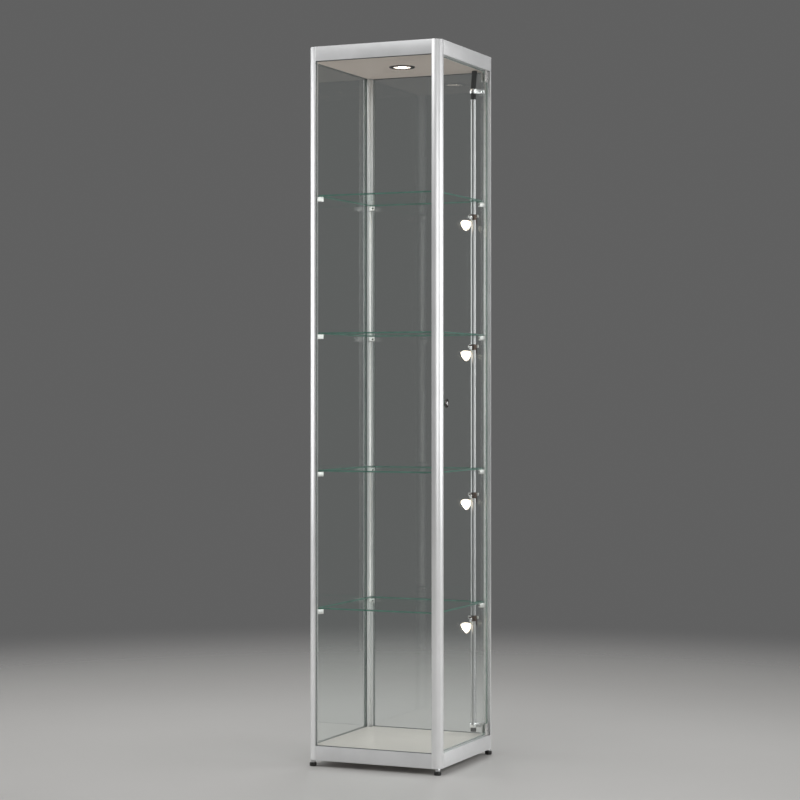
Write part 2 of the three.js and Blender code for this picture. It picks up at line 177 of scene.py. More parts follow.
def endFinish(tree, surface):
    addNode(tree, "ShaderNodeOutputMaterial", None, {"Surface": surface})


def place(tree, stretch=(1, 1, 1)):
    # object coordinates; a small stretch value draws the pattern out along that axis
    point = addNode(tree, "ShaderNodeTexCoord", None, None, "Object")
    return addNode(tree, "ShaderNodeMapping", None, {"Vector": point, "Scale": stretch})


def noise(tree, point, scale, detail=3, rough=0.5):
    inputs = {"Vector": point, "Scale": scale, "Detail": detail, "Roughness": rough}
    return addNode(tree, "ShaderNodeTexNoise", None, inputs)


def tint(tree, factor, first, second):
    inputs = {"Factor": factor, 6: (*first, 1), 7: (*second, 1)}  # 6 and 7 are the colour pair A and B
    return addNode(tree, "ShaderNodeMix", {"data_type": "RGBA"}, inputs, 2)


def relief(tree, height, depth):
    return addNode(tree, "ShaderNodeBump", None, {"Height": height, "Distance": depth, "Strength": 1.0})


def principled(tree, inputs):
    return addNode(tree, "ShaderNodeBsdfPrincipled", None, inputs)


def darker(colour, share):
    return tuple(value * share for value in colour)


def grained(name, look):
    # a fine grain, drawn out into lines by stretch, over broad soft patches of handling
    material, tree = startFinish(name)
    grain = noise(tree, place(tree, look["stretch"]), look["grain"], look["grainDetail"])
    patches = noise(tree, place(tree), look["patches"], *look["patchDetail"])
    shade = patches.over(0.3, 0.4) if look["crisp"] else patches
    surface = principled(tree, {
        "Base Color": tint(tree, shade * 0.6 + grain * 0.4, darker(look["base"], look["dull"]), look["base"]),
        "Metallic": look["metal"],
        "Roughness": look["rough"] + (patches - 0.5) * look["smear"] + (grain - 0.5) * look["grainRough"],
        "Specular IOR Level": look["specular"],
        "Coat Weight": look["coat"],
        "Coat Roughness": 0.15,
        "Normal": relief(tree, grain, look["depth"] * mm),
    })
    endFinish(tree, surface)
    return material


def sheetGlass(name, look):
    # a pane: clear faces that mirror more at a slant, green cut edges, and a painted green glow in those
    # edges
    material, tree = startFinish(name)
    normal = addNode(tree, "ShaderNodeTexCoord", None, None, "Normal")
    faceOn = addNode(tree, "ShaderNodeSeparateXYZ", None, {0: normal}, look["faceAxis"]).unsigned()
    edge = 1 - faceOn.over(0.55, 0.3)
    smudge = noise(tree, place(tree), look["smudges"], 4, 0.6)
    mirror = principled(tree, {
        "Base Color": (*look["mirror"], 1),
        "Metallic": 1.0,
        "Roughness": look["polish"] + smudge * look["smear"],
    })
    clear = addNode(tree, "ShaderNodeBsdfTransparent", None, {"Color": (*look["clear"], 1)})
    facing = addNode(tree, "ShaderNodeLayerWeight", None, {"Blend": 0.5}, "Facing")
    share = look["straightMirror"] + facing ** 5 * look["slantMirror"]
    face = addNode(tree, "ShaderNodeMixShader", None, {0: share, 1: clear, 2: mirror})
    streaks = noise(tree, place(tree), look["streaks"], 3)
    # the cut edges: their own streaked green, plus a painted green glow in the same colour
    rim = principled(tree, {
        "Base Color": tint(tree, streaks, look["edgeDark"], look["edge"]),
        "Roughness": look["edgeRough"],
        "Emission Color": tint(tree, streaks, look["edgeDark"], look["edge"]),
        "Emission Strength": look["edgePaintedGlow"],
    })
    surface = addNode(tree, "ShaderNodeMixShader", None, {0: edge * look["edgeShare"], 1: face, 2: rim})
    endFinish(tree, surface)
    return material


def glowing(name, look):
    # lit glass: brighter in its facets' middles
    material, tree = startFinish(name)
    facets = addNode(tree, "ShaderNodeTexVoronoi", None, {"Vector": place(tree), "Scale": look["facets"]})
    surface = principled(tree, {
        "Base Color": (*look["base"], 1),
        "Roughness": 0.12,
        "Emission Color": tint(tree, facets.over(0.0, 0.8), look["bright"], look["soft"]),
        "Emission Strength": look["strength"],
    })
    endFinish(tree, surface)
    return material


# a finish states what differs from its group; grain and patches are pattern scales, depth is in mm
metal = {"metal": 1.0, "stretch": (1, 1, 1), "grain": 900, "grainDetail": 4, "grainRough": 0.1, "depth": 0.02,
    "patches": 14, "patchDetail": (4, 0.6), "crisp": True, "dull": 0.86, "smear": 0.12, "specular": 0.5,
    "coat": 0.0}
moulding = {**metal, "metal": 0.0, "grain": 1500, "grainDetail": 2, "grainRough": 0.0, "depth": 0.05,
    "patches": 20, "patchDetail": (3, 0.5), "crisp": False, "dull": 0.88, "smear": 0.14}
metals = {
    "postAnodised": {"base": (0.90, 0.905, 0.91), "rough": 0.34, "metal": 0.55, "stretch": (1, 1, 0.004),
        "grain": 1100, "dull": 0.93, "smear": 0.08},
    "railAnodisedAlongX": {"base": (0.80, 0.805, 0.81), "rough": 0.5, "metal": 0.4, "stretch": (0.006, 1, 1),
        "grain": 1300, "dull": 0.9, "depth": 0.03},
    "tubeSatin": {"base": (0.53, 0.53, 0.535), "rough": 0.34, "stretch": (1, 1, 0.004), "grain": 1500},
    "nickel": {"base": (0.90, 0.89, 0.87), "rough": 0.38, "stretch": (1, 1, 0.05), "grain": 1800},
    "chrome": {"base": (0.92, 0.92, 0.92), "rough": 0.2, "grain": 300, "smear": 0.05, "depth": 0.002},
    "darkNickel": {"base": (0.12, 0.11, 0.105), "rough": 0.24, "grain": 500, "depth": 0.004},
    "zinc": {"base": (0.70, 0.71, 0.72), "rough": 0.28},
    "clipBronze": {"base": (0.095, 0.062, 0.048), "rough": 0.36},
    "contactBrass": {"base": (0.80, 0.58, 0.30), "rough": 0.28, "stretch": (1, 1, 0.01)},
}
metals["railAnodisedAlongY"] = {**metals["railAnodisedAlongX"], "stretch": (1, 0.006, 1)}
mouldings = {
    "coverPaint": {"base": (0.62, 0.62, 0.63), "rough": 0.42, "grain": 900, "depth": 0.03, "specular": 0.6},
    "deckMelamine": {"base": (0.87, 0.82, 0.77), "rough": 0.36, "grain": 700, "depth": 0.03, "dull": 0.96,
        "coat": 0.15},
    "ceilingMelamine": {"base": (0.92, 0.78, 0.71), "rough": 0.45, "grain": 700, "depth": 0.03, "dull": 0.95},
    "blackRubber": {"base": (0.011, 0.010, 0.010), "rough": 0.66, "depth": 0.04, "specular": 0.2},
    "sealRubber": {"base": (0.05, 0.05, 0.052), "rough": 0.55, "depth": 0.03},
    "footPlastic": {"base": (0.02, 0.019, 0.018), "rough": 0.38, "depth": 0.03},
    "ceramic": {"base": (0.78, 0.75, 0.69), "rough": 0.35, "grain": 2500, "coat": 0.3},
    "casePlastic": {"base": (0.80, 0.80, 0.79), "rough": 0.4, "depth": 0.04},
}
# the edge glow strength is a painted glow in the glass's cut edges, not a lamp
paneLook = {"clear": (0.985, 0.994, 0.99), "mirror": (0.97, 1.0, 0.99), "straightMirror": 0.04,
    "slantMirror": 0.75, "polish": 0.008, "smear": 0.016, "smudges": 6, "streaks": 40,
    "edge": (0.32, 0.40, 0.365), "edgeDark": (0.13, 0.20, 0.17), "edgePaintedGlow": 0.02, "edgeShare": 0.75,
    "edgeRough": 0.18}
glasses = {
    "paneAcrossY": {**paneLook, "faceAxis": 1},
    "paneAcrossX": {**paneLook, "faceAxis": 0},
    "shelfGlass": {**paneLook, "clear": (0.965, 0.985, 0.977), "slantMirror": 0.15,
        "edge": (0.14, 0.30, 0.24), "edgeDark": (0.045, 0.12, 0.095), "edgePaintedGlow": 0.05,
        "edgeShare": 0.92, "faceAxis": 2},
}
litGlasses = {
    "lampGlass": {"base": (0.9, 0.88, 0.84), "bright": (1.0, 0.93, 0.82), "soft": (1.0, 0.80, 0.58),
        "strength": 1.7, "facets": 420},
    "capsuleGlass": {"base": (0.9, 0.9, 0.88), "bright": (1.0, 0.95, 0.86), "soft": (1.0, 0.88, 0.72),
        "strength": 150.0, "facets": 900},
    "lensGlass": {"base": (0.9, 0.9, 0.88), "bright": (1.0, 0.97, 0.92), "soft": (1.0, 0.90, 0.78),
        "strength": 26.0, "facets": 260},
}
finishes = {}
for maker, group, looks in ((grained, metal, metals), (grained, moulding, mouldings),
        (sheetGlass, {}, glasses), (glowing, {}, litGlasses)):
    for name, look in looks.items():
        finishes[name] = maker(name, {**group, **look})
print("finishes made", len(finishes))


# mesh building

onAxis = 1e-7  # a smaller radius is a point on the axis


def inMm(pairs, base=0.0):
    # pairs in millimetres; the second of each is measured up from base
    return [(first * mm, base + second * mm) for first, second in pairs]


def arc(cx, cy, radius, start, sweep, count):
    step = sweep / (count if sweep == turn else count - 1)
    angles = [start + step * i for i in range(count)]
    return [(cx + radius * cos(angle), cy + radius * sin(angle)) for angle in angles]


def prism(loops, z0, z1, matrix=None):
    # loops: the outline, then any holes
    bm = bmesh.new()
    lows, highs = [], []
    for loop in loops:
        low = [bm.verts.new((x, y, z0)) for x, y in loop]
        high = [bm.verts.new((x, y, z1)) for x, y in loop]
        for i, j in zip(range(len(loop)), [*range(1, len(loop)), 0]):
            bm.faces.new((low[i], low[j], high[j], high[i]))
        lows += low
        highs += high
    if len(loops) == 1:
        bm.faces.new(lows[::-1])
        bm.faces.new(highs)
    else:
        flat = [[Vector((x, y, 0)) for x, y in loop] for loop in loops]
        for a, b, c in tessellate_polygon(flat):
            bm.faces.new((lows[a], lows[b], lows[c]))
            bm.faces.new((highs[c], highs[b], highs[a]))
    if matrix:
        bmesh.ops.transform(bm, matrix=matrix, verts=bm.verts)
    return bm


def rectangle(x0, x1, y0, y1):
    return [(x0, y0), (x1, y0), (x1, y1), (x0, y1)]


def box(x0, x1, y0, y1, z0, z1, matrix=None):
    return prism([rectangle(x0, x1, y0, y1)], z0, z1, matrix)


def spin(profile, sides=48, matrix=None, flutes=0, fluteDepth=0.0):
    # profile: (radius, height) pairs, from axis to axis, or a closed ring that never touches the axis
    bm = bmesh.new()
    rings = []
    for radius, height in profile:
        if radius < onAxis:
            rings.append([bm.verts.new((0, 0, height))])
            continue
        ring = []
        for i in range(sides):
            angle = turn * i / sides
            r = radius * (1 - fluteDepth * (0.5 - 0.5 * cos(flutes * angle)))
            ring.append(bm.verts.new((r * cos(angle), r * sin(angle), height)))
        rings.append(ring)
    closed = profile[0][0] >= onAxis
    for k in range(len(rings) - (0 if closed else 1)):
        joinRings(bm, rings[k], rings[(k + 1) % len(rings)])
    if matrix:
        bmesh.ops.transform(bm, matrix=matrix, verts=bm.verts)
    return bm


def joinRings(bm, lower, upper):
    count = max(len(lower), len(upper))
    for i in range(count):
        j = (i + 1) % count
        corners = [lower[i % len(lower)], lower[j % len(lower)], upper[j % len(upper)], upper[i % len(upper)]]
        bm.faces.new(list(dict.fromkeys(corners)))


def rod(radius, z0, z1, sides=32, matrix=None):
    return spin([(0, z0), (radius, z0), (radius, z1), (0, z1)], sides, matrix)


def bentRod(points, radiusAt, sides):
    # a round solid along points, with its ends closed; radiusAt gives the radius for 0 to 1 along it
    bm = bmesh.new()
    rings = []
    side = Vector((1, 0, 0))
    for i, point in enumerate(points):
        ahead = (points[min(i + 1, len(points) - 1)] - points[max(i - 1, 0)]).normalized()
        side = (side - ahead * side.dot(ahead)).normalized()
        other = ahead.cross(side)
        circle = arc(0, 0, radiusAt(i / (len(points) - 1)), 0, turn, sides)
        rings.append([bm.verts.new(point + side * x + other * y) for x, y in circle])
    for lower, upper in zip(rings, rings[1:]):
        joinRings(bm, lower, upper)
    bm.faces.new(rings[0][::-1])
    bm.faces.new(rings[-1])
    return bm


def smoothPath(points, steps):
    # a smooth line through the points
    path = []
    padded = [points[0] * 2 - points[1], *points, points[-1] * 2 - points[-2]]
    for a, b, c, d in zip(padded, padded[1:], padded[2:], padded[3:]):
        for i in range(steps):
            t = i / steps
            path.append(0.5 * (2 * b + (c - a) * t + (2 * a - 5 * b + 4 * c - d) * t ** 2
                + (3 * b - a - 3 * c + d) * t ** 3))
    return path + [points[-1]]


def asObject(bm, name="temp"):
    bmesh.ops.recalc_face_normals(bm, faces=bm.faces)
    mesh = bpy.data.meshes.new(name)
    bm.to_mesh(mesh)
    bm.free()
    return looseObject(mesh, name)


def applyModifiers(made):
    graph = bpy.context.evaluated_depsgraph_get()
    old = made.data
    made.data = bpy.data.meshes.new_from_object(made.evaluated_get(graph))
    made.modifiers.clear()
    bpy.data.meshes.remove(old)


def combined(bm, tool, operation):
    base = asObject(bm)
    other = asObject(tool)
    modifier = base.modifiers.new("cut", "BOOLEAN")
    modifier.object = other
    modifier.operation = operation
    modifier.solver = "MANIFOLD"
    applyModifiers(base)
    result = bmesh.new()
    result.from_mesh(base.data)
    for done in (base, other):
        mesh = done.data
        bpy.data.objects.remove(done)
        bpy.data.meshes.remove(mesh)
    bmesh.ops.remove_doubles(result, verts=result.verts, dist=1e-6)
    bmesh.ops.dissolve_limit(result, angle_limit=radians(0.5), verts=result.verts, edges=result.edges)
    return result


def cutFrom(bm, tool):
    return combined(bm, tool, "DIFFERENCE")


def joined(bm, tool):
    return combined(bm, tool, "UNION")


def together(parts):
    # separate solids in one mesh
    whole = bmesh.new()
    mesh = bpy.data.meshes.new("part")
    for part in parts:
        part.to_mesh(mesh)
        part.free()
        whole.from_mesh(mesh)
    bpy.data.meshes.remove(mesh)
    return whole


def asPiece(bm, name, finish, body, nodes=(), bevel=0.0, segments=2, angle=32):
    # edges sharper than angle, in degrees, are rounded by bevel and stay crisp in the shading
    made = asObject(bm, name)
    made.data.materials.append(finishes[finish])
    if bevel:
        modifier = made.modifiers.new("edges", "BEVEL")
        modifier.width = bevel
        modifier.segments = segments
        modifier.limit_method = "ANGLE"
        modifier.angle_limit = radians(angle)
        applyModifiers(made)
    finishPiece(made, name, body, nodes, angle)


def finishPiece(made, name, body, nodes=(), angle=32):
    made.name = name
    made.data.name = name
    made.data.shade_smooth()
    made.data.set_sharp_from_angle(angle=radians(angle))
    if nodes:
        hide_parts(*nodes)
    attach(made, body)


def rotated(angle, axis="Z"):
    return Matrix.Rotation(angle, 4, axis)


# Geometry Nodes: screw heads, grip ribs and seal beads

def startTree(name, sizes):
    tree = bpy.data.node_groups.new(name, "GeometryNodeTree")
    tree.interface.new_socket("Geometry", in_out="INPUT", socket_type="NodeSocketGeometry")
    for key, value in sizes.items():
        kind = "NodeSocketInt" if isinstance(value, int) else "NodeSocketFloat"
        tree.interface.new_socket(key, in_out="INPUT", socket_type=kind).default_value = value
    tree.interface.new_socket("Material", in_out="INPUT", socket_type="NodeSocketMaterial")
    tree.interface.new_socket("Geometry", in_out="OUTPUT", socket_type="NodeSocketGeometry")
    entry = addNode(tree, "NodeGroupInput").socket.node
    return tree, {socket.name: Wire(tree, socket) for socket in entry.outputs if socket.name}


def endTree(tree, geometry, material):
    solid = addNode(tree, "GeometryNodeRealizeInstances", None, {"Geometry": geometry})
    painted = addNode(tree, "GeometryNodeSetMaterial", None, {"Geometry": solid, "Material": material})
    addNode(tree, "NodeGroupOutput", None, {0: painted})
    return tree


def liftedBy(tree, geometry, height):
    lift = addNode(tree, "ShaderNodeCombineXYZ", None, {"Z": height})
    return addNode(tree, "GeometryNodeTransform", None, {"Geometry": geometry, "Translation": lift})


# shares of the head's radius and height
screwShape = {"sides": 20, "crownRadius": 0.78, "crownHigh": 0.35, "crownLift": 0.5, "keyHigh": 3.0,
    "keyLift": 1.6}


def screwTree(shape):
    # a button head with a hexagon socket on every point of the seed, along its axis attribute
    tree, given = startTree("screwHeads", {"Head Radius": 2.0 * mm, "Head Height": 1.2 * mm,
        "Key Size": 0.9 * mm})
    radius, high = given["Head Radius"], given["Head Height"]
    head = addNode(tree, "GeometryNodeMeshCylinder", None, {"Vertices": shape["sides"], "Radius": radius,
        "Depth": high})
    crown = addNode(tree, "GeometryNodeMeshCone", None, {
        "Vertices": shape["sides"], "Radius Top": radius * shape["crownRadius"], "Radius Bottom": radius,
        "Depth": high * shape["crownHigh"]})
    crown = liftedBy(tree, crown, high * shape["crownLift"])
    key = addNode(tree, "GeometryNodeMeshCylinder", None, {"Vertices": 6, "Radius": given["Key Size"],
        "Depth": high * shape["keyHigh"]})
    key = liftedBy(tree, key, high * shape["keyLift"])
    whole = addNode(tree, "GeometryNodeMeshBoolean", {"operation": "UNION", "solver": "EXACT"},
        {"Mesh 2": [head, crown]})
    screw = addNode(tree, "GeometryNodeMeshBoolean", {"operation": "DIFFERENCE", "solver": "EXACT"},
        {"Mesh 1": whole, "Mesh 2": key})
    axis = addNode(tree, "GeometryNodeInputNamedAttribute", {"data_type": "FLOAT_VECTOR"}, {"Name": "axis"})
    aim = addNode(tree, "FunctionNodeAlignRotationToVector", {"axis": "Z"}, {"Vector": axis})
    spots = addNode(tree, "GeometryNodeMeshToPoints", None, {"Mesh": given["Geometry"]})
    heads = addNode(tree, "GeometryNodeInstanceOnPoints", None, {"Points": spots, "Instance": screw,
        "Rotation": aim})
    return endTree(tree, heads, given["Material"])


def ribTree():
    # upright ribs in a ring round the seed's point
    tree, given = startTree("gripRibs", {"Ring Radius": 9.6 * mm, "Rib Width": 1.0 * mm,
        "Rib Height": 8.0 * mm, "Count": 24})
    ring = addNode(tree, "GeometryNodeMeshCircle", None, {"Vertices": given["Count"],
        "Radius": given["Ring Radius"]})
    size = addNode(tree, "ShaderNodeCombineXYZ", None, {"X": given["Rib Width"],
        "Y": given["Rib Width"] * 0.7, "Z": given["Rib Height"]})
    rib = addNode(tree, "GeometryNodeMeshCube", None, {"Size": size})
    where = addNode(tree, "GeometryNodeInputPosition")
    aim = addNode(tree, "FunctionNodeAlignRotationToVector", {"axis": "X"}, {"Vector": where})
    ribs = addNode(tree, "GeometryNodeInstanceOnPoints", None, {"Points": ring, "Instance": rib,
        "Rotation": aim})
    solid = addNode(tree, "GeometryNodeRealizeInstances", None, {"Geometry": ribs})
    spots = addNode(tree, "GeometryNodeMeshToPoints", None, {"Mesh": given["Geometry"]})
    copies = addNode(tree, "GeometryNodeInstanceOnPoints", None, {"Points": spots, "Instance": solid})
    return endTree(tree, copies, given["Material"])


def sealTree():
    # a square bead along the seed's edges
    tree, given = startTree("sealBead", {"Bead": 0.8 * mm})
    path = addNode(tree, "GeometryNodeMeshToCurve", None, {"Mesh": given["Geometry"]})
    section = addNode(tree, "GeometryNodeCurvePrimitiveQuadrilateral", None, {"Width": given["Bead"],
        "Height": given["Bead"]})
    bead = addNode(tree, "GeometryNodeCurveToMesh", None, {"Curve": path, "Profile Curve": section,
        "Fill Caps": True})
    return endTree(tree, bead, given["Material"])


trees = {"screw": screwTree(screwShape), "rib": ribTree(), "seal": sealTree()}


def grown(seed, name, tree, values, finish, body):
    modifier = seed.modifiers.new("grow", "NODES")
    modifier.node_group = tree
    known = {item.name: item.identifier for item in tree.interface.items_tree if item.in_out == "INPUT"}
    for key, value in {**values, "Material": finishes[finish]}.items():
        modifier[known[key]] = value
    applyModifiers(seed)
    finishPiece(seed, name, body)


def seedAt(points, edges=(), axes=()):
    mesh = bpy.data.meshes.new("seed")
    mesh.from_pydata([tuple(point) for point in points], edges, [])
    attribute = mesh.attributes.new("axis", "FLOAT_VECTOR", "POINT")
    for i, axis in enumerate(axes):
        attribute.data[i].vector = Vector(axis).normalized()
    return looseObject(mesh, "seed")


def addScrews(name, spots, sizes, finish, body):
    # spots: (point, axis) pairs
    points, axes = zip(*spots)
    seed = seedAt(points, axes=axes)
    grown(seed, name, trees["screw"], sizes, finish, body)


# corner posts: a quarter round outside, a pane slot in each leg and a screw port in the corner

postSection = {"lip": 2.4 * mm, "slot": 6.6 * mm, "slotDepth": 6 * mm, "port": 2.9 * mm, "portInset": 12 * mm,
    "edge": 0.35 * mm, "arcPoints": 36}


def postLoops(size):
    slotOut = halfWidth - size["lip"]
    slotIn = slotOut - size["slot"]
    slotEnd = legStart + size["slotDepth"]
    port = halfWidth - size["portInset"]
    outline = [(legInner, legInner), (legInner, legStart), (slotIn, legStart), (slotIn, slotEnd),
        (slotOut, slotEnd), (slotOut, legStart)]
    outline += arc(legStart, legStart, halfWidth - legStart, 0, quarter, size["arcPoints"])
    outline += [(legStart, slotOut), (slotEnd, slotOut), (slotEnd, slotIn), (legStart, slotIn),
        (legStart, legInner)]
    return [outline, arc(port, port, size["port"], 0, turn, 24)]


def makePosts():
    for corner, turns in quarterTurns.items():
        bm = prism(postLoops(postSection), frameLow, caseTop, rotated(turns * quarter))
        asPiece(bm, "cornerPost." + corner, "postAnodised", "root", ["post_" + corner],
            bevel=postSection["edge"])


makePosts()
print("posts done")


# base and top rails: hollow, with a groove for the pane and a ledge for the board

railSection = {"lip": 2.4 * mm, "groove": 6.6 * mm, "innerLip": 1.6 * mm, "deep": 7 * mm, "board": 16 * mm,
    "ledge": 2 * mm, "ledgeHigh": 3 * mm, "wall": 2 * mm, "edge": 0.35 * mm}


def paneRailLoops(size, high):
    grooveIn = size["lip"] + size["groove"]
    inner = grooveIn + size["innerLip"]
    boardLow = high - size["board"]
    back = railDepth - size["ledge"]
    floor = high - size["deep"]
    outline = [(0, 0), (back, 0), (back, size["ledgeHigh"]), (railDepth, size["ledgeHigh"]),
        (railDepth, boardLow), (inner, boardLow), (inner, high), (grooveIn, high), (grooveIn, floor),
        (size["lip"], floor), (size["lip"], high), (0, high)]
    wall = size["wall"]
    return [outline, rectangle(wall, back - wall, wall, boardLow - wall)]


def doorRailLoops(size, high):
    deep = halfWidth - lowOf("base_rail_right").x
    wall = size["wall"]
    return [rectangle(0, deep, 0, high), rectangle(wall, deep - wall, wall, high - wall)]


def makeRails():
    for level, z, up in (("base", frameLow, 1), ("top", caseTop, -1)):
        for side, turns in sideTurns.items():
            node = f"{level}_rail_{side}"
            high = highOf(node).z - lowOf(node).z
            loops = doorRailLoops(railSection, high) if side == "right" else paneRailLoops(railSection, high)
            lay = Matrix(((-1, 0, 0, halfWidth), (0, 0, up, 0), (0, up, 0, z), (0, 0, 0, 1)))
            bm = prism(loops, -legStart, legStart, rotated(turns * quarter) @ lay)
            finish = "railAnodisedAlongX" if side in ("front", "back") else "railAnodisedAlongY"
            asPiece(bm, f"{level}Rail.{side}", finish, "root", [node],
                bevel=railSection["edge"])


makeRails()
print("rails done")

keptNodes = {"base_deck": "deckMelamine", "ceiling_panel": "ceilingMelamine", "top_cover": "coverPaint",
    "front_glass": "paneAcrossY", "back_glass": "paneAcrossY", "left_glass": "paneAcrossX"}
for node, finish in keptNodes.items():
    frame["nodes"][node].data.materials.clear()
    frame["nodes"][node].data.materials.append(finishes[finish])


# seals on both faces of each fixed pane

sealSize = {"bead": 1.0 * mm, "paneGap": 0.15 * mm, "pane": 6 * mm}


def makeSeals():
    bead = sealSize["bead"]
    off = bead / 2 + sealSize["paneGap"]
    wide = legStart - bead / 2
    z0, z1 = deckTop + bead / 2, ceilingLow - bead / 2
    for side in ("back", "left", "front"):
        low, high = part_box(side + "_glass")
        outer = max(abs(low.x), abs(high.x)) if side == "left" else max(abs(low.y), abs(high.y))
        points, edges = [], []
        for face in (outer + off, outer - sealSize["pane"] - off):
            first = len(points)
            points += [rotated(sideTurns[side] * quarter) @ Vector((face, y, z))
                for y, z in rectangle(-wide, wide, z0, z1)]
            edges += [(first + i, first + (i + 1) % 4) for i in range(4)]
        grown(seedAt(points, edges), "paneSeal." + side, trees["seal"], {"Bead": bead}, "sealRubber", "root")


makeSeals()
print("seals done")


# shelves with the light rail's hole, and their supports

shelfLook = {"chamfer": 6 * mm, "holeRadius": 12 * mm, "edge": 0.7 * mm}
supportLook = {"fit": 0.3 * mm, "lugHigh": 13.5 * mm, "reach": 11.5 * mm, "strip": 5 * mm, "stripEnd": 1 * mm,
    "pad": 0.6 * mm, "padFit": 0.05 * mm, "padShare": 0.6, "padIn": 5 * mm, "edge": 0.7 * mm,
    "screwRadius": 2.6 * mm, "screwKey": 1.2 * mm, "screwDrop": 0.52}


def makeShelves():
    for i, node in enumerate(shelfNodes):
        low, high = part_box(node)
        h = high.x
        k = h - shelfLook["chamfer"]
        outline = [(h, -k), (h, k), (k, h), (-k, h), (-h, k), (-h, -k), (-k, -h), (k, -h)]
        hole = arc(railAxis.x, railAxis.y, shelfLook["holeRadius"], 0, turn, 64)
        bm = prism([outline, hole], low.z, high.z)
        asPiece(bm, f"glassShelf.{i + 1}", "shelfGlass", "root", [node],
            bevel=shelfLook["edge"], segments=1)


def makeSupports(size):
    c = legInner - size["fit"]
    reach = size["reach"]
    lug = [(c, c), (legStart, c), (legStart - reach, c - reach), (c - reach, legStart - reach), (c, legStart)]
    strip = [(c, c), (c - size["strip"], c), (c, c - size["strip"])]
    inward = Vector((-1, -1, 0)).normalized()
    tip = (legStart + c) / 2 - reach
    share = size["padShare"]
    padShift = (tip + size["padIn"]) * (1 - share)
    padLoop = [(x * share + padShift, y * share + padShift) for x, y in lug]
    for corner, turns in quarterTurns.items():
        toCorner = rotated(turns * quarter)
        bm = prism([strip], shelfLows[0] - size["lugHigh"], shelfLows[-1] - size["stripEnd"], toCorner)
        screws, pads = [], []
        for z in shelfLows:
            bm = joined(bm, prism([lug], z - size["lugHigh"], z - size["pad"], toCorner))
            face = Vector((tip, tip, z - size["lugHigh"] * size["screwDrop"]))
            screws.append((toCorner @ face, toCorner.to_3x3() @ inward))
            pads.append(prism([padLoop], z - size["pad"], z - size["padFit"], toCorner))
        asPiece(bm, "shelfSupport." + corner, "nickel", "root", ["shelf_supports_" + corner],
            bevel=size["edge"])
        asPiece(together(pads), "shelfPad." + corner, "blackRubber", "root")
        addScrews("supportScrews." + corner, screws, {"Head Radius": size["screwRadius"],
            "Key Size": size["screwKey"]},
            "darkNickel", "root")


makeShelves()
makeSupports(supportLook)
print("shelves done")


# door and its pivot clamps

doorLook = {"notchLong": 24 * mm, "notchHigh": 6.5 * mm, "holeRadius": 9.5 * mm, "edge": 0.6 * mm}
# body, seat and gap are measured from the rail's face; rises are shares of the clamp's height
clampLook = {"channel": 6.6 * mm, "body": 2.2 * mm, "seat": 9.2 * mm, "pin": 2.5 * mm, "pinDeep": 14 * mm,
    "overlap": 1 * mm, "washer": 4.5 * mm, "washerBore": 2.6 * mm, "gap": 0.3 * mm,
    "washerHigh": 2.15 * mm, "past": 5 * mm, "edge": 0.8 * mm, "rises": (0.42, 0.76),
    "screws": {"Head Radius": 3.0 * mm, "Head Height": 0.8 * mm, "Key Size": 1.4 * mm}}
doorLow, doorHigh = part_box("door_glass")
pivot = jointAt("door_swing")
lockAxis = jointAt("lock_turn")


def makeDoor(size):
    step = doorHigh.y - size["notchLong"]
    z0, z1 = doorLow.z, doorHigh.z
    notch0, notch1 = z0 + size["notchHigh"], z1 - size["notchHigh"]
    outline = [(doorLow.y, z0), (step, z0), (step, notch0), (doorHigh.y, notch0), (doorHigh.y, notch1),
        (step, notch1), (step, z1), (doorLow.y, z1)]
    hole = arc(lockAxis.y, lockAxis.z, size["holeRadius"], 0, turn, 48)
    lay = Matrix(((0, 0, 1, 0), (1, 0, 0, 0), (0, 1, 0, 0), (0, 0, 0, 1)))
    bm = prism([outline, hole], doorLow.x, doorHigh.x, lay)
    asPiece(bm, "glassDoor", "paneAcrossX", "door", ["door_glass"], bevel=size["edge"],
        segments=1)


def makeClamp(level, size):
    # a machined channel on the glass, with a nylon washer and its pin in the rail
    node = "hinge_clamp_" + level
    low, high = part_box(node)
    up, face, far = (1, deckTop, high.z) if level == "bottom" else (-1, ceilingLow, low.z)
    long = abs(far - face)

    def span(a, b):
        return sorted((face + up * a, face + up * b))

    half = (high.x - low.x) / 2
    gap = size["channel"] / 2
    atPin = Matrix.Translation((pivot.x, pivot.y, 0))
    bm = box(pivot.x - half, pivot.x + half, low.y, high.y, *span(size["body"], long))
    slot = box(pivot.x - gap, pivot.x + gap, low.y - size["past"], high.y + size["past"],
        *span(size["seat"], long + size["past"]))
    bm = cutFrom(bm, slot)
    pinSpan = span(-size["pinDeep"], size["body"] + size["overlap"])
    bm = joined(bm, rod(size["pin"], *pinSpan, matrix=atPin))
    asPiece(bm, "hingeClamp." + level, "nickel", "door", [node], bevel=size["edge"])
    section = rectangle(size["washerBore"], size["washer"], *span(size["gap"], size["washerHigh"]))
    washer = spin(section, 32, atPin)
    asPiece(washer, "hingeWasher." + level, "ceramic", "door")
    spots = []
    for rise in size["rises"]:
        z = face + up * long * rise
        for side in (1, -1):
            spots.append((Vector((pivot.x + side * half, middleOf(node).y, z)), (side, 0, 0)))
    addScrews("hingeScrews." + level, spots, size["screws"], "zinc", "door")


makeDoor(doorLook)
makeClamp("bottom", clampLook)
makeClamp("top", clampLook)
print("door done")


# cam lock, in mm; heights run outwards from the door's outer face, and local X points down

